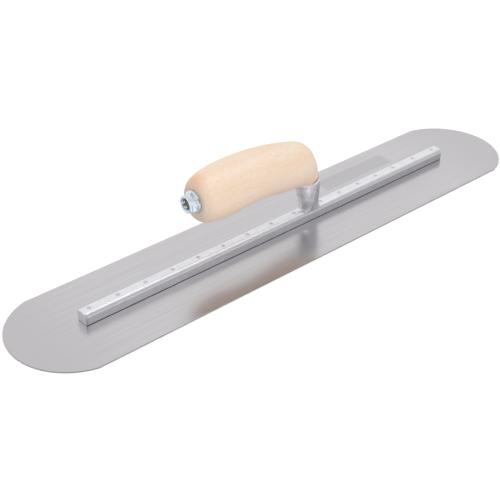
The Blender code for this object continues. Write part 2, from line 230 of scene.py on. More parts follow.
def ramp(tree, value, low, high, out_low=0.0, out_high=1.0, smooth=True):
    node = tree.nodes.new("ShaderNodeMapRange")
    node.interpolation_type = "SMOOTHSTEP" if smooth else "LINEAR"
    node.inputs["From Min"].default_value = low
    node.inputs["From Max"].default_value = high
    node.inputs["To Min"].default_value = out_low
    node.inputs["To Max"].default_value = out_high
    tree.links.new(value, node.inputs["Value"])
    return node.outputs["Result"]


def maths(tree, operation, first, second):
    node = tree.nodes.new("ShaderNodeMath")
    node.operation = operation
    for socket, value in zip(node.inputs, (first, second)):
        if isinstance(value, (int, float)):
            socket.default_value = value
        else:
            tree.links.new(value, socket)
    return node.outputs["Value"]


def blend_colour(tree, factor, first, second):
    node = tree.nodes.new("ShaderNodeMix")
    node.data_type = "RGBA"
    for socket, value in ((node.inputs[0], factor), (node.inputs[6], first),
                          (node.inputs[7], second)):
        if isinstance(value, (int, float)):
            socket.default_value = value
        elif isinstance(value, tuple):
            socket.default_value = (*value, 1.0)
        else:
            tree.links.new(value, socket)
    return node.outputs[2]


def bump(tree, shader, height, strength, distance, below=None):
    node = tree.nodes.new("ShaderNodeBump")
    node.inputs["Strength"].default_value = strength
    node.inputs["Distance"].default_value = distance
    tree.links.new(height, node.inputs["Height"])
    if below is not None:
        tree.links.new(below, node.inputs["Normal"])
    tree.links.new(node.outputs["Normal"], shader.inputs["Normal"])
    return node.outputs["Normal"]


def axis_value(tree, vector, axis):
    node = tree.nodes.new("ShaderNodeSeparateXYZ")
    tree.links.new(vector, node.inputs[0])
    return node.outputs[axis]


def distance_to(tree, vector, point, scale):
    """Distance from a point, each axis weighted on its own."""
    node = stretched(tree, vector, scale, tuple(-p * s for p, s in zip(point, scale)))
    length = tree.nodes.new("ShaderNodeVectorMath")
    length.operation = "LENGTH"
    tree.links.new(node, length.inputs[0])
    return length.outputs["Value"]


# ---------------------------------------------------------------- materials
def blade_material():
    material, tree, shader, place = new_material("blade_steel_brushed")
    fine = noise_field(tree, stretched(tree, place, (20.0, 1800.0, 1800.0)), 1.0, 4.0)
    broad = noise_field(tree, stretched(tree, place, (2.0, 260.0, 260.0)), 1.0, 2.0)
    haze = noise_field(tree, place, 14.0, 3.0)
    streaks = maths(tree, "ADD", maths(tree, "MULTIPLY", fine, 0.8),
                    maths(tree, "MULTIPLY", broad, 0.2))
    colour = blend_colour(tree, ramp(tree, streaks, 0.34, 0.66), (0.552, 0.537, 0.552),
                          (0.600, 0.585, 0.598))
    # painted shade: the blade's colour darkens towards both ends
    painted_end_shade = ramp(tree, maths(tree, "ABSOLUTE", axis_value(tree, place, "X"), 0.0), 0.160, 0.245,
                0.0, 0.7)
    colour = blend_colour(tree, painted_end_shade, colour, (0.500, 0.487, 0.500))
    etch = etched_patch(tree, place)
    colour = blend_colour(tree, maths(tree, "MULTIPLY", etch, 0.85), colour,
                          (0.30, 0.295, 0.30))
    # painted shade: faces that turn away from upright, the blade's edges, are painted dark
    facing = tree.nodes.new("ShaderNodeTexCoord").outputs["Normal"]
    upright = maths(tree, "ABSOLUTE", axis_value(tree, facing, "Z"), 0.0)
    colour = blend_colour(tree, ramp(tree, upright, 0.35, 0.9, 0.85, 0.0), colour,
                          (0.16, 0.155, 0.155))
    tree.links.new(colour, shader.inputs["Base Color"])
    shader.inputs["Metallic"].default_value = 1.0
    rough = maths(tree, "ADD", ramp(tree, streaks, 0.3, 0.7, 0.20, 0.25),
                  ramp(tree, haze, 0.35, 0.65, -0.01, 0.02))
    rough = maths(tree, "ADD", rough, maths(tree, "MULTIPLY", etch, 0.18))
    tree.links.new(rough, shader.inputs["Roughness"])
    bump(tree, shader, fine, 0.08, 0.0001)
    return material


def etched_patch(tree, place):
    """Plain, evenly stippled rectangle etched into the front of the blade."""
    inside = 1.0
    for axis, middle, reach in zip("XY", PATCH_CENTRE, PATCH_HALF):
        away = maths(tree, "ABSOLUTE", maths(tree, "SUBTRACT", axis_value(tree, place, axis),
                                             middle), 0.0)
        edge = ramp(tree, away, reach - PATCH_EDGE, reach, 1.0, 0.0)
        inside = maths(tree, "MULTIPLY", edge, inside)
    dots = ramp(tree, noise_field(tree, place, 2600.0, 1.0), 0.42, 0.62, 0.15, 0.50)
    top = ramp(tree, axis_value(tree, place, "Z"), 0.5 * BLADE_TOP, 0.8 * BLADE_TOP)
    return maths(tree, "MULTIPLY", maths(tree, "MULTIPLY", inside, top), dots)


def aluminium_material():
    material, tree, shader, place = new_material("cast_aluminium_polished")
    height = axis_value(tree, place, "Z")
    post = ramp(tree, height, BLADE_TOP + BAR_TOP, BLADE_TOP + POST_DULL)
    wave = noise_field(tree, place, 170.0, 3.0)
    grain = noise_field(tree, place, 1300.0, 3.0, 0.6)
    pits = ramp(tree, noise_field(tree, place, 620.0, 1.0), 0.64, 0.70)
    pits = maths(tree, "MULTIPLY", pits, post)
    polish = noise_field(tree, stretched(tree, place, (18.0, 900.0, 900.0)), 1.0, 3.0)
    tone = blend_colour(tree, ramp(tree, wave, 0.35, 0.65), (0.755, 0.755, 0.785),
                        (0.795, 0.795, 0.825))
    dull = blend_colour(tree, ramp(tree, wave, 0.35, 0.65), (0.74, 0.74, 0.77),
                        (0.85, 0.85, 0.88))
    tone = blend_colour(tree, post, tone, dull)
    along = axis_value(tree, place, "X")
    # painted shade: the front part of the post is painted darker
    post_front_shade = maths(tree, "MULTIPLY", ramp(tree, along, 0.0300, 0.0365), post)
    tone = blend_colour(tree, maths(tree, "MULTIPLY", post_front_shade, 0.7), tone, (0.40, 0.40, 0.42))
    # painted shade: a dark, patchy line beside the raised parting line on the post
    seam_shade = parting_seam_shade(tree, place)
    tone = blend_colour(tree, maths(tree, "MULTIPLY", seam_shade, 0.9), tone, (0.24, 0.22, 0.21))
    # painted highlight: the front rim of the post's head just under the seat is painted near white
    lip_highlight = maths(tree, "MULTIPLY", ramp(tree, height, BLADE_TOP + SEAT - 0.003, BLADE_TOP + SEAT),
                ramp(tree, along, 0.026, 0.031))
    tone = blend_colour(tree, lip_highlight, tone, (0.96, 0.96, 0.95))
    tone = blend_colour(tree, maths(tree, "MULTIPLY", pits, 0.7), tone, (0.20, 0.20, 0.22))
    tree.links.new(tone, shader.inputs["Base Color"])
    shader.inputs["Metallic"].default_value = 1.0
    rough = maths(tree, "ADD", ramp(tree, grain, 0.3, 0.7, 0.36, 0.44),
                  maths(tree, "MULTIPLY", post, -0.04))
    tree.links.new(rough, shader.inputs["Roughness"])
    surface = maths(tree, "ADD", maths(tree, "MULTIPLY", grain, maths(tree, "ADD", post, 0.08)),
                    maths(tree, "MULTIPLY", pits, -2.5))
    below = bump(tree, shader, surface, 0.35, 0.0002)
    bump(tree, shader, polish, 0.05, 0.0001, below)
    return material


def parting_seam_shade(tree, place):
    """Painted shade: a dark line just in front of the raised line that the parting leaves on the
    post.
    """
    height = maths(tree, "SUBTRACT", axis_value(tree, place, "Z"), BLADE_TOP)
    forward = maths(tree, "SUBTRACT", axis_value(tree, place, "X"), POST_X)
    angle = maths(tree, "ARCTAN2", axis_value(tree, place, "Y"), forward)
    lean = ramp(tree, height, SEAM_LOW, SEAM_HIGH, SEAM_START - math.tau, SEAM_END - math.tau,
                False)
    away = maths(tree, "ABSOLUTE", maths(tree, "SUBTRACT", maths(tree, "SUBTRACT", angle, lean),
                                         math.radians(6.0)), 0.0)
    line = ramp(tree, away, math.radians(1.5), math.radians(4.5), 1.0, 0.0)
    patchiness = ramp(tree, noise_field(tree, place, 500.0, 2.0), 0.35, 0.55, 0.35, 1.0)
    band = maths(tree, "MULTIPLY", ramp(tree, height, SEAM_LOW, SEAM_LOW + 0.002),
                 ramp(tree, height, SEAM_HIGH, SEAM_HIGH + 0.004, 1.0, 0.0))
    return maths(tree, "MULTIPLY", maths(tree, "MULTIPLY", line, patchiness), band)


def rivet_material():
    material, tree, shader, place = new_material("rivet_steel_ground")
    grain = noise_field(tree, place, 1500.0, 3.0, 0.6)
    tone = blend_colour(tree, ramp(tree, grain, 0.35, 0.65), (0.58, 0.58, 0.60),
                        (0.66, 0.66, 0.68))
    tree.links.new(tone, shader.inputs["Base Color"])
    shader.inputs["Metallic"].default_value = 1.0
    tree.links.new(ramp(tree, grain, 0.3, 0.7, 0.36, 0.52), shader.inputs["Roughness"])
    bump(tree, shader, grain, 0.3, 0.0001)
    return material


def wood_material():
    material, tree, shader, place = new_material("handle_wood_pale")
    curved = noise_field(tree, stretched(tree, place, (9.0, 60.0, 60.0)), 1.0, 2.0)
    grain = noise_field(tree, stretched(tree, place, (22.0, 420.0, 420.0)), 1.0, 4.0, 0.6, 0.4)
    pores = noise_field(tree, stretched(tree, place, (120.0, 2200.0, 2200.0)), 1.0, 2.0)
    fleck = ramp(tree, pores, 0.62, 0.72)
    tone = blend_colour(tree, ramp(tree, curved, 0.35, 0.65), (0.702, 0.552, 0.415),
                        (0.722, 0.605, 0.505))
    tone = blend_colour(tree, ramp(tree, grain, 0.42, 0.72, 0.0, 0.50), tone,
                        (0.70, 0.53, 0.38))
    speckle = noise_field(tree, stretched(tree, place, (320.0, 950.0, 950.0)), 1.0, 2.0)
    tone = blend_colour(tree, ramp(tree, speckle, 0.50, 0.62, 0.0, 0.40), tone,
                        (0.73, 0.47, 0.29))
    tone = blend_colour(tree, maths(tree, "MULTIPLY", fleck, 0.34), tone, (0.66, 0.44, 0.27))
    warm = ramp(tree, distance_to(tree, place, WOOD_PATCH, (1.0, 0.8, 1.2)), 0.001, 0.013,
                0.75, 0.0)
    tone = blend_colour(tree, warm, tone, (0.74, 0.37, 0.18))
    height = axis_value(tree, place, "Z")
    # painted shade: the lower, less lit part of the handle is tinted pinker
    lower_shade = ramp(tree, height, BLADE_TOP + 0.040, BLADE_TOP + 0.070, 0.35, 0.0)
    tone = blend_colour(tree, lower_shade, tone, (0.76, 0.585, 0.52))
    along = axis_value(tree, place, "X")
    # painted shade: a dark brown band in the gap where the nose sits on the seat
    rise = maths(tree, "MULTIPLY",
                 maths(tree, "MAXIMUM", maths(tree, "SUBTRACT", along, SEAT_BREAK_X), 0.0),
                 SEAT_SLOPE)
    above = maths(tree, "SUBTRACT", maths(tree, "SUBTRACT", height, rise), BLADE_TOP + SEAT)
    seat = ramp(tree, above, 0.0017, 0.0032, 1.0, 0.0)
    nose = ramp(tree, along, 0.023, 0.027)
    seat_gap_shade = maths(tree, "MULTIPLY", seat, nose)
    tone = blend_colour(tree, seat_gap_shade, tone, (0.30, 0.16, 0.07))
    end_grain = ramp(tree, along, -0.0925, -0.0790, 0.55, 0.0)
    tone = blend_colour(tree, end_grain, tone, (0.53, 0.43, 0.36))
    tree.links.new(tone, shader.inputs["Base Color"])
    shader.inputs["Specular IOR Level"].default_value = 0.35
    tree.links.new(ramp(tree, grain, 0.3, 0.7, 0.42, 0.56), shader.inputs["Roughness"])
    surface = maths(tree, "ADD", maths(tree, "MULTIPLY", grain, 0.6),
                    maths(tree, "MULTIPLY", fleck, -0.5))
    bump(tree, shader, surface, 0.18, 0.0002)
    return material


def zinc_material():
    material, tree, shader, place = new_material("nut_bright_zinc")
    cloud = noise_field(tree, place, 260.0, 3.0)
    grain = noise_field(tree, place, 2600.0, 2.0)
    tone = blend_colour(tree, ramp(tree, cloud, 0.35, 0.65), (0.58, 0.66, 0.76),
                        (0.78, 0.83, 0.88))
    tree.links.new(tone, shader.inputs["Base Color"])
    shader.inputs["Metallic"].default_value = 1.0
    tree.links.new(ramp(tree, cloud, 0.3, 0.7, 0.20, 0.34), shader.inputs["Roughness"])
    bump(tree, shader, grain, 0.15, 0.0001)
    return material


def yellow_zinc_material():
    material, tree, shader, place = new_material("rod_yellow_zinc")
    cloud = noise_field(tree, place, 500.0, 3.0)
    tone = blend_colour(tree, ramp(tree, cloud, 0.35, 0.65), (0.34, 0.29, 0.08),
                        (0.55, 0.47, 0.16))
    tree.links.new(tone, shader.inputs["Base Color"])
    shader.inputs["Metallic"].default_value = 1.0
    tree.links.new(ramp(tree, cloud, 0.3, 0.7, 0.30, 0.48), shader.inputs["Roughness"])
    bump(tree, shader, cloud, 0.2, 0.0001)
    return material


# ---------------------------------------------------------------- blade
BLADE_END_RADIUS = 0.0525
BLADE_END_STEPS = 96
BLADE_CHAMFER = 0.00015
RIVET_HOLE_RADIUS = 0.00162
RIVET_FOOT_RADIUS = 0.00262
PATCH_CENTRE = (0.115, 0.029)
PATCH_HALF = (0.042, 0.010)
PATCH_EDGE = 0.003               # width over which the etching fades out


def rivet_centres():
    centres = []
    for name in RIVET_NODES:
        low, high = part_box(name)
        centres.append(((low.x + high.x) / 2, (low.y + high.y) / 2))
    return centres


def blade_ring(inset, height):
    """Outline of the blade: straight sides and end arcs slightly flatter than half circles."""
    half_width = (BLADE_HIGH.y - BLADE_LOW.y) / 2
    centre_x = BLADE_HIGH.x - BLADE_END_RADIUS
    half_angle = math.degrees(math.asin(half_width / BLADE_END_RADIUS))
    points = []
    for turn in (0.0, 180.0):
        for x, y in arc((centre_x, 0.0), BLADE_END_RADIUS - inset, -half_angle, half_angle,
                        BLADE_END_STEPS):
            y = max(-half_width + inset, min(half_width - inset, y))
            sign = 1.0 if turn == 0.0 else -1.0
            points.append((sign * x, sign * y, height))
    return points


def make_blade(material):
    top = BLADE_HIGH.z
    rings = [blade_ring(BLADE_CHAMFER, 0.0), blade_ring(0.0, BLADE_CHAMFER),
             blade_ring(0.0, top - BLADE_CHAMFER), blade_ring(BLADE_CHAMFER, top)]
    blade = loft("blade_sheet", rings)
    cutters = []
    for x, y in rivet_centres():
        profile = [(0.0, -MM), (RIVET_FOOT_RADIUS, -MM), (RIVET_FOOT_RADIUS, 0.0),
                   (RIVET_HOLE_RADIUS, top), (RIVET_HOLE_RADIUS, top + MM), (0.0, top + MM)]
        cutters.append(lathe("blade_hole", profile, 32, Matrix.Translation((x, y, 0.0))))
    combine(blade, [join_meshes("blade_holes", cutters)], "DIFFERENCE")
    shade(blade, 25)
    blade.data.materials.append(material)
    return blade


# ---------------------------------------------------------------- mounting
BAR_FRONT_X = BAR_HIGH.x
BAR_REAR_X = BAR_LOW.x
BAR_HALF_WIDTH = 0.0061
BAR_TOP_HALF_WIDTH = 0.0035
BAR_TOP = 0.0100                 # above the blade
BAR_LINE = 0.0070                # height of the parting line
BAR_STEP = 0.00028
BAR_FOOT = 0.0003
BAR_STATIONS = 190
# distance from the end of the bar and how far the section is drawn in there, in millimetres
BAR_REAR_ROUNDING = ((0.00, 1.20), (0.10, 0.80), (0.30, 0.45), (0.60, 0.18), (1.00, 0.04),
                     (1.60, 0.0))
BAR_FRONT_ROUNDING = ((0.50, 0.0), (0.20, 0.06), (0.05, 0.18), (0.00, 0.30))
POST_X = 0.0303
POST_DULL = 0.0160               # above this height the casting is left unpolished
SEAT = 0.0370
POST_SQUARENESS = 2.5
POST_SIDES = 96
POST_RINGS = 90
# height above the blade, shift of the centre along X, half length, half width, in millimetres
POST_SECTIONS = (
    (8.2, 0.0, 13.4, 6.02),
    (9.6, 0.0, 11.7, 5.98),
    (11.2, 0.0, 10.3, 5.92),
    (14.0, 0.0, 9.7, 5.85),
    (18.5, 0.0, 9.9, 6.05),
    (23.0, -0.3, 10.6, 6.50),
    (28.0, -1.1, 11.2, 7.15),
    (31.5, -1.9, 11.6, 7.70),
    (35.2, -2.6, 11.9, 8.50),
    (37.5, -3.1, 11.2, 8.40),
    (43.0, -4.0, 10.6, 8.00),
)
SEAT_BREAK_X = 0.0245            # in front of this the seat rises into a lip
SEAT_SLOPE = 0.35
SEAT_REAR_X = -0.010             # the block that cuts the seat runs between these
SEAT_FRONT_X = 0.060
SEAT_REACH = 0.020
SEAM_LOW = 0.009                 # the parting seam climbs the near side between these heights
SEAM_HIGH = 0.028
SEAM_START = math.radians(250.0)
SEAM_END = math.radians(292.0)
SEAM_WIDTH = math.radians(5.0)
SEAM_RISE = 0.00042
LUG_X = 0.0222
LUG_TOP = BAR_HIGH.z
LUG_HALF = Vector((0.0058, 0.0068))


def bar_section(inset):
    """Closed section of the bar as (y, height above the blade), shrunk by an inset."""
    half = BAR_HALF_WIDTH - inset
    shoulder = half - BAR_STEP
    top_half = BAR_TOP_HALF_WIDTH - 0.4 * inset
    top = BAR_TOP - 0.3 * inset
    side = [(half - 0.0002, BAR_FOOT), (half, BAR_FOOT + 0.0003)]
    side += [(half, BAR_LINE * t) for t in (0.3, 0.6, 0.9)]
    side += [(half, BAR_LINE - 0.00012), (half - 0.00006, BAR_LINE - 0.00002),
             (shoulder + 0.0001, BAR_LINE + 0.00002), (shoulder, BAR_LINE + 0.00014)]
    run = shoulder - top_half
    rise = top - BAR_LINE
    for i in range(1, 13):
        angle = math.radians(90.0) * i / 12
        bulge = (top_half + run * math.cos(angle), BAR_LINE + rise * math.sin(angle))
        flat = (shoulder - run * i / 12, BAR_LINE + rise * i / 12)
        side.append((0.5 * bulge[0] + 0.5 * flat[0], 0.5 * bulge[1] + 0.5 * flat[1]))
    side += [(top_half * t, top) for t in (0.75, 0.4)]
    return side + [(-y, z) for y, z in reversed(side)]


def bar_stations():
    """Places along the bar and how far the section is drawn in there."""
    stations = [(BAR_REAR_X + offset * MM, inset * MM) for offset, inset in BAR_REAR_ROUNDING]
    count = BAR_STATIONS
    start = BAR_REAR_X + 4 * MM
    end = BAR_FRONT_X - 2 * MM
    stations += [(start + (end - start) * i / count, 0.0) for i in range(count + 1)]
    stations += [(BAR_FRONT_X - offset * MM, inset * MM) for offset, inset in BAR_FRONT_ROUNDING]
    return stations


def make_bar():
    rings = []
    for x, inset in bar_stations():
        ring = []
        for y, height in bar_section(inset):
            point = Vector((x, y, BLADE_TOP + height))
            if height > BAR_FOOT + 0.001:
                draw = abs(ripple((x, 0.35 * y, 0.35 * height), 0.021, 0.00009, 2.0))
                point.y -= math.copysign(draw, y)
                point.z -= abs(ripple((x, y, 0.0), 0.016, 0.00007, 5.0))
            ring.append(point)
        rings.append(ring)
    return loft("mounting_casting", rings)


def crease_height(angle, height):
    """Raised line that the casting's parting leaves on the post, at a height in millimetres."""
    share = (height * MM - SEAM_LOW) / (SEAM_HIGH - SEAM_LOW)
    target = SEAM_START + (SEAM_END - SEAM_START) * share
    away = (angle - target) / SEAM_WIDTH
    fade = max(0.0, min(1.0, (30.0 - height) / 4.0)) * max(0.0, min(1.0, (height - 7.0) / 3.0))
    return SEAM_RISE * math.exp(-away * away) * fade


def make_post():
    rings = []
    steps = len(POST_SECTIONS) - 1
    for i in range(POST_RINGS + 1):
        position = steps * i / POST_RINGS
        height, shift, half_length, half_width = (
            spline([section[k] for section in POST_SECTIONS], position) for k in range(4))
        ring = []
        for j in range(POST_SIDES):
            angle = math.tau * j / POST_SIDES
            x, y = superellipse(angle, half_length * MM, half_width * MM, POST_SQUARENESS)
            outward = Vector((x / half_length ** 2, y / half_width ** 2, 0.0)).normalized()
            point = Vector((POST_X + shift * MM + x, y, BLADE_TOP + height * MM))
            lift = crease_height(angle, height) + ripple(point, 0.007, 0.00016, 9.0)
            ring.append(point + outward * lift)
        rings.append(ring)
    return loft("post", rings)


def seat_block(name, lift, far):
    """Block between the seat, moved up by a lift, and a level height above the blade."""
    near = SEAT + lift
    rise = SEAT_SLOPE * (SEAT_FRONT_X - SEAT_BREAK_X)
    outline = [(SEAT_REAR_X, near), (SEAT_BREAK_X, near), (SEAT_FRONT_X, near + rise),
               (SEAT_FRONT_X, far), (SEAT_REAR_X, far)]
    rings = [[Vector((x, y, BLADE_TOP + height)) for x, height in outline]
             for y in (-SEAT_REACH, SEAT_REACH)]
    return loft(name, rings)


def make_lug():
    bottom = BLADE_TOP + SEAT - 0.001
    profile = [(0.0, LUG_TOP), (0.85, LUG_TOP), (1.0, LUG_TOP - 0.0008), (1.0, bottom),
               (0.0, bottom)]
    place = Matrix.Translation((LUG_X, 0, 0)) @ Matrix.Diagonal((*LUG_HALF, 1.0, 1.0))
    return lathe("lug", profile, 48, place)


def rivet_hole_cutters(radius, chamfer):
    top = BLADE_TOP + BAR_TOP
    cutters = []
    for x, y in rivet_centres():
        profile = [(0.0, 0.0), (radius, 0.0), (radius, top - chamfer - 0.00003),
                   (radius + chamfer, top), (radius + chamfer, top + MM), (0.0, top + MM)]
        cutters.append(lathe("bar_hole", profile, 32, Matrix.Translation((x, y, 0.0))))
    return join_meshes("bar_holes", cutters)


def make_mounting(material):
    post = combine(make_post(), [seat_block("above_seat", -GAP, 0.080)], "DIFFERENCE")
    mounting = combine(make_bar(), [post, make_lug()], "UNION")
    socket = rod_cutter("tang_socket", SOCKET_RADIUS, 0.0, ROD_HIGH.x + 0.0003)
    combine(mounting, [socket, rivet_hole_cutters(RIVET_HOLE_RADIUS, 0.00007)], "DIFFERENCE")
    shade(mounting, 32)
    mounting.data.materials.append(material)
    return mounting


# ---------------------------------------------------------------- rivets
def make_rivets(material):
    low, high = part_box(RIVET_NODES[0])
    foot = low.z
    radius = RIVET_HOLE_RADIUS - 0.00006
    rim = high.z
    profile = [(0.0, rim - 0.00030), (0.0006, rim - 0.00026), (0.0011, rim - 0.00012),
               (radius - 0.00018, rim), (radius, rim - 0.00014), (radius, BLADE_TOP),
               (RIVET_FOOT_RADIUS - 0.00008, foot + 0.00005), (RIVET_FOOT_RADIUS - 0.0003, foot),
               (0.0, foot)]
    pieces = []
    for name, (x, y) in zip(RIVET_NODES, rivet_centres()):
        rivet = lathe(f"{name}_head", profile, 40, Matrix.Translation((x, y, 0.0)))
        shade(rivet, 40)
        rivet.data.materials.append(material)
        pieces.append((rivet, name))
    return pieces


# ---------------------------------------------------------------- tang axis
TANG_TILT = math.radians(2.0)
NUT_FACE = Vector((NUT_LOW.x + 0.00023, 0.0, BLADE_TOP + 0.0620))
NUT_LENGTH = 0.0081
NUT_FLATS = 0.0144
CROWN_FLATS = 0.0131
NUT_TURN = math.radians(3.0)
NUT_SIDES = 72
THREAD_PITCH = 0.0015875         # 16 to the inch
ROD_RADIUS = 0.0046
ROD_THREAD_DEPTH = 0.00055
NUT_BORE_RADIUS = 0.00505
NUT_THREAD_DEPTH = 0.00045
SOCKET_RADIUS = 0.0049
HANDLE_BORE_RADIUS = 0.0052


def tang_frame():
    """Frame on the nut's outer face: local Z points to the rear along the rod, local X up."""
    return Matrix.Translation(NUT_FACE) @ Matrix.Rotation(TANG_TILT - math.pi / 2, 4, "Y")


def tang_distance(x):
    return (x - NUT_FACE.x) / math.cos(TANG_TILT)


def rod_cutter(name, radius, start, end_x):
    end = tang_distance(end_x)
    profile = [(0.0, -start), (radius, -start), (radius, -end), (0.0, -end)]
    return lathe(name, profile, 48, tang_frame())


def thread_tube(radius, depth, start, end, sides=40):
    """Rings of a screw thread on the tang axis: the radius follows the angle and the height."""
    rings = []
    steps = max(2, int((end - start) / THREAD_PITCH * 8))
    for i in range(steps + 1):
        height = -(start + (end - start) * i / steps)
        edge = min(i, steps - i) / 4.0
        ring = []
        for j in range(sides):
            angle = math.tau * j / sides
            phase = (height / THREAD_PITCH + j / sides) % 1.0
            cut = depth * abs(2.0 * phase - 1.0)
            cut = max(cut, depth * (1.0 - edge)) if edge < 1.0 else cut
            r = radius - cut
            ring.append((r * math.cos(angle), r * math.sin(angle), height))
        rings.append(ring)
    return rings


def make_tang_rod(material):
    start = tang_distance(ROD_LOW.x) + 0.0001
    end = tang_distance(ROD_HIGH.x) - 0.0001
    rings = thread_tube(ROD_RADIUS, ROD_THREAD_DEPTH, start, end)
    rod = loft("tang_rod_threaded", rings)
    rod.data.transform(tang_frame())
    shade(rod, 40)
    rod.data.materials.append(material)
    return rod


# ---------------------------------------------------------------- nut
def hexagon_solid(name, flats, bottom, top, turn):
    """Hexagonal prism whose corners are chamfered by a cone at both ends."""
    radius = flats / math.sqrt(3)
    ring = []
    for height in (bottom, top):
        ring.append([(radius * math.cos(math.radians(60 * i) + turn),
                      radius * math.sin(math.radians(60 * i) + turn), height) for i in range(6)])
    prism = loft(name, ring)
    inner = flats / 2 - 0.0001
    drop = (radius - inner) * math.tan(math.radians(30))
    high = radius + 0.0001
    profile = [(0.0, top), (inner, top), (high, top - drop), (high, bottom), (0.0, bottom)]
    return combine(prism, [lathe("hex_chamfer", profile, NUT_SIDES)], "INTERSECT")


def make_nut(material):
    bottom = -NUT_LENGTH
    body = hexagon_solid("handle_nut_zinc", NUT_FLATS, bottom + 0.0006, bottom + 0.0064, NUT_TURN)
    crown = hexagon_solid("crown", CROWN_FLATS, bottom + 0.0050, 0.0, NUT_TURN)
    rim = bottom + 0.0014
    flange_profile = [(0.0, rim + 0.0011), (0.0066, rim + 0.0010), (0.0080, rim + 0.00045),
                      (0.00905, rim), (0.00925, rim - 0.0003), (0.0093, rim - 0.0007),
                      (0.0093, bottom + 0.0002), (0.0091, bottom), (0.0, bottom)]
    flange = lathe("flange", flange_profile, NUT_SIDES)
    combine(body, [flange, crown], "UNION")
    mouth = [(0.0, MM), (0.0056, MM), (0.0056, 0.0), (0.00475, -0.0006), (0.00475, -0.0007),
             (0.0, -0.0007)]
    bore = loft("bore", thread_tube(NUT_BORE_RADIUS, NUT_THREAD_DEPTH, -0.0008,
                                    NUT_LENGTH + 0.0008))
    combine(body, [bore, lathe("mouth", mouth, 48)], "DIFFERENCE")
    body.data.transform(tang_frame())
    shade(body, 28)
    body.data.materials.append(material)
    return body


# ---------------------------------------------------------------- handle
HANDLE_END_RADIUS = 0.0112       # flat rear end, square to the tang rod
REAR_SQUARENESS = 2.4
CROWN_X = -0.0500                # highest and widest place
CROWN_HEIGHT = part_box("handle")[1].z - BLADE_TOP
CROWN_HALF_WIDTH = 0.0178
BACK_RADIUS = 0.2300             # the back falls towards the nose along this arc
BELLY_X = -0.0660
BELLY_HEIGHT = 0.0396
FINGER_HOLLOW = 0.0032           # the underside arches up by this between belly and heel
HEEL_X = 0.0080
HEEL_HEIGHT = 0.0373
SHOULDER_X = 0.0165              # the back turns down into the nose here
SHOULDER_HALF_WIDTH = 0.0153
NOSE_FRONT_X = 0.0379
NOSE_FRONT_SLOPE = math.radians(80.0)
NOSE_REAR_X = 0.0170
NOSE_HALF_WIDTH = 0.0099
NOSE_FOOT = SEAT - 0.0006        # the nose is cut off along the seat, a little above this
REAR_STEPS = 44
BACK_STEPS = 56
NOSE_STEPS = 56
HANDLE_SIDES = 112
HANDLE_SQUARENESS = 2.2
GRIP_WAVE_SIZE = 0.030           # slow unevenness of the sanded wood
GRIP_WAVE = 0.00012
REAR_FACE_X = -0.085             # behind this the end stays true, to meet the nut
WOOD_PATCH = Vector((-0.0890, 0.0018, BLADE_TOP + 0.0785))


def blend(first, second, share):
    return first + (second - first) * share


def rear_section(share):
    """Top point, bottom point and half width of the rounded rear end."""
    turn = math.radians(90.0) * share
    forward = 1.0 - math.cos(turn) ** (2.0 / REAR_SQUARENESS)
    outward = math.sin(turn) ** (2.0 / REAR_SQUARENESS)
    end = tang_frame() @ Matrix.Translation((0.0, 0.0, -NUT_LENGTH - GAP))
    high = end @ Vector((HANDLE_END_RADIUS, 0.0, 0.0))
    low = end @ Vector((-HANDLE_END_RADIUS, 0.0, 0.0))
    top = (blend(high.x, CROWN_X, forward), blend(high.z - BLADE_TOP, CROWN_HEIGHT, outward))
    bottom = (blend(low.x, BELLY_X, forward), blend(low.z - BLADE_TOP, BELLY_HEIGHT, outward))
    return top, bottom, blend(HANDLE_END_RADIUS, CROWN_HALF_WIDTH, outward)


def back_height(x):
    """Height of the back in front of the crown, and how steeply it falls there."""
    run = x - CROWN_X
    rise = math.sqrt(BACK_RADIUS ** 2 - run ** 2)
    return CROWN_HEIGHT - BACK_RADIUS + rise, run / rise


def back_section(share):
    top_x = blend(CROWN_X, SHOULDER_X, share)
    ease = share * share * (3.0 - 2.0 * share)
    hollow = FINGER_HOLLOW * math.sin(math.pi * share) ** 2
    bottom = (blend(BELLY_X, HEEL_X, share), blend(BELLY_HEIGHT, HEEL_HEIGHT, ease) + hollow)
    half_width = blend(CROWN_HALF_WIDTH, SHOULDER_HALF_WIDTH, share ** 2)
    return (top_x, back_height(top_x)[0]), bottom, half_width


def nose_section(share):
    """The nose turns from the shoulder down onto the seat along a quadratic curve."""
    height, fall = back_height(SHOULDER_X)
    steep = math.tan(NOSE_FRONT_SLOPE)
    corner_x = (NOSE_FOOT + steep * NOSE_FRONT_X - height - fall * SHOULDER_X) / (steep - fall)
    corner = Vector((corner_x, NOSE_FOOT + steep * (NOSE_FRONT_X - corner_x)))
    start = Vector((SHOULDER_X, height))
    end = Vector((NOSE_FRONT_X, NOSE_FOOT))
    top = start.lerp(corner, share).lerp(corner.lerp(end, share), share)
    bottom = (blend(HEEL_X, NOSE_REAR_X, share), blend(HEEL_HEIGHT, NOSE_FOOT, share))
    narrowing = 0.35 * share + 0.65 * share ** 2.5
    return top, bottom, blend(SHOULDER_HALF_WIDTH, NOSE_HALF_WIDTH, narrowing)


def handle_rings():
    """Superellipses set between each section's top and bottom points."""
    sections = [rear_section(i / REAR_STEPS) for i in range(REAR_STEPS)]
    sections += [back_section(i / BACK_STEPS) for i in range(BACK_STEPS)]
    sections += [nose_section(i / NOSE_STEPS) for i in range(NOSE_STEPS + 1)]
    rings = []
    for top, bottom, half_width in sections:
        high = Vector((top[0], 0.0, BLADE_TOP + top[1]))
        low = Vector((bottom[0], 0.0, BLADE_TOP + bottom[1]))
        ring = []
        for j in range(HANDLE_SIDES):
            across, along = superellipse(math.tau * j / HANDLE_SIDES, half_width, 1.0,
                                         HANDLE_SQUARENESS)
            ring.append((high + low) / 2 + (high - low) / 2 * along + Vector((0.0, across, 0.0)))
        rings.append(ring)
    return rings


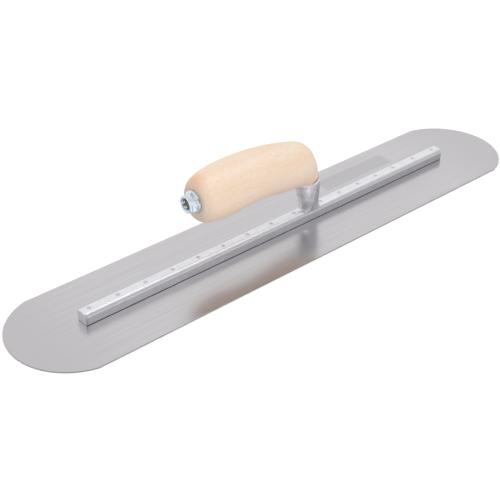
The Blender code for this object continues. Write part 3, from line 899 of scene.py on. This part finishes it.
def make_handle(material):
    handle = loft("handle_grip", handle_rings())
    roughen(handle, GRIP_WAVE_SIZE, GRIP_WAVE, 4.0, -GRIP_WAVE, lambda co: co.x > REAR_FACE_X)
    lug_place = (Matrix.Translation((LUG_X, 0, 0))
                 @ Matrix.Diagonal((LUG_HALF.x + GAP, LUG_HALF.y + GAP, 1.0, 1.0)))
    pocket_top = LUG_TOP + GAP
    pocket_bottom = BLADE_TOP + SEAT - 0.002
    pocket = lathe("pocket", [(0.0, pocket_top), (1.0, pocket_top), (1.0, pocket_bottom),
                              (0.0, pocket_bottom)], 48, lug_place)
    bore = rod_cutter("bore", HANDLE_BORE_RADIUS, 0.0, LUG_X)
    combine(handle, [seat_block("below_seat", 0.0, 0.0)], "DIFFERENCE")
    combine(handle, [pocket, bore], "DIFFERENCE")
    shade(handle, 35)
    handle.data.materials.append(material)
    return handle


# ---------------------------------------------------------------- studio
CAMERA_AZIMUTH = math.radians(-40.52)
CAMERA_ELEVATION = math.radians(33.36)
CAMERA_ROLL = math.radians(-0.19)
CAMERA_DISTANCE = 0.860
CAMERA_LENS = 76.75
CAMERA_TARGET = Vector((-0.0401, -0.0069, BLADE_TOP))


def make_camera():
    data = bpy.data.cameras.new("camera")
    data.lens = CAMERA_LENS
    data.sensor_width = 36.0
    data.clip_start = 0.05
    data.clip_end = 50.0
    camera = bpy.data.objects.new("camera", data)
    bpy.context.scene.collection.objects.link(camera)
    level = math.cos(CAMERA_ELEVATION)
    away = Vector((math.sin(CAMERA_AZIMUTH) * level, -math.cos(CAMERA_AZIMUTH) * level,
                   math.sin(CAMERA_ELEVATION)))
    right = Vector((math.cos(CAMERA_AZIMUTH), math.sin(CAMERA_AZIMUTH), 0.0))
    up = away.cross(right)
    cosine = math.cos(CAMERA_ROLL)
    sine = math.sin(CAMERA_ROLL)
    right, up = cosine * right + sine * up, cosine * up - sine * right
    turn = Matrix((right, up, away)).transposed().to_4x4()
    camera.matrix_world = Matrix.Translation(CAMERA_TARGET + away * CAMERA_DISTANCE) @ turn
    bpy.context.scene.camera = camera


def make_floor():
    size = 60.0
    mesh = new_mesh("floor", [(-size, -size, 0), (size, -size, 0), (size, size, 0),
                              (-size, size, 0)], [(0, 1, 2, 3)])
    floor = new_object("floor", mesh)
    floor.location.z = -0.0002
    material, tree, shader, place = new_material("floor_white")
    shade_field = noise_field(tree, place, 1.5, 2.0)
    tone = blend_colour(tree, shade_field, (0.93, 0.93, 0.93), (0.95, 0.95, 0.95))
    tree.links.new(tone, shader.inputs["Base Color"])
    shader.inputs["Roughness"].default_value = 0.9
    shader.inputs["Specular IOR Level"].default_value = 0.0
    floor.data.materials.append(material)


def make_area_light(name, place, target, size, power, mirrored=False):
    """Softbox aimed at a target.  Only a mirrored one shows as a highlight in the metal."""
    data = bpy.data.lights.new(name, "AREA")
    data.shape = "RECTANGLE"
    data.size, data.size_y = size
    data.energy = power
    light = bpy.data.objects.new(name, data)
    light.visible_glossy = mirrored
    bpy.context.scene.collection.objects.link(light)
    light.location = place
    light.rotation_euler = (Vector(target) - Vector(place)).to_track_quat("-Z", "Y").to_euler()


def make_world():
    """Pale room, shaded low on the near side and most of all towards negative X."""
    world = bpy.data.worlds.new("studio")
    bpy.context.scene.world = world
    world.use_nodes = True
    tree = world.node_tree
    background = tree.nodes["Background"]
    direction = tree.nodes.new("ShaderNodeTexCoord").outputs["Generated"]
    near = maths(tree, "MULTIPLY", axis_value(tree, direction, "Y"), -1.0)
    low = ramp(tree, axis_value(tree, direction, "Z"), 0.64, 0.78, 1.0, 0.0)
    dark = blend_colour(tree, ramp(tree, axis_value(tree, direction, "X"), -0.15, 0.35),
                        (0.22, 0.22, 0.23), (0.54, 0.54, 0.555))
    near_side = blend_colour(tree, low, (1.15, 1.15, 1.15), dark)
    tone = blend_colour(tree, ramp(tree, near, 0.18, 0.48), (1.0, 1.0, 1.0), near_side)
    tree.links.new(tone, background.inputs["Color"])
    background.inputs["Strength"].default_value = 1.0


def make_studio():
    make_camera()
    make_floor()
    make_world()
    make_area_light("softbox_top", (-0.2, -0.3, 1.6), (0.0, 0.0, 0.0), (1.6, 1.2), 9.0)
    make_area_light("softbox_low", (-0.60, -1.35, 0.20), (0.0, 0.0, 0.05), (0.6, 0.3), 6.0)
    make_area_light("softbox_side", (0.46, -0.58, 0.98), (-0.07, 0.0, 0.0), (0.50, 0.30), 0.9, True)
    bpy.context.scene.view_settings.view_transform = "Standard"


# ---------------------------------------------------------------- assembly
def attach(piece, node):
    """Ties a visual piece to the body and hides the CAD node it stands for."""
    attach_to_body(piece, "root")
    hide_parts(node)


def build():
    attach(make_blade(blade_material()), "blade")
    attach(make_mounting(aluminium_material()), "mounting")
    for rivet, node in make_rivets(rivet_material()):
        attach(rivet, node)
    attach(make_handle(wood_material()), "handle")
    attach(make_tang_rod(yellow_zinc_material()), "tang_rod")
    attach(make_nut(zinc_material()), "handle_nut")
    make_studio()


build()
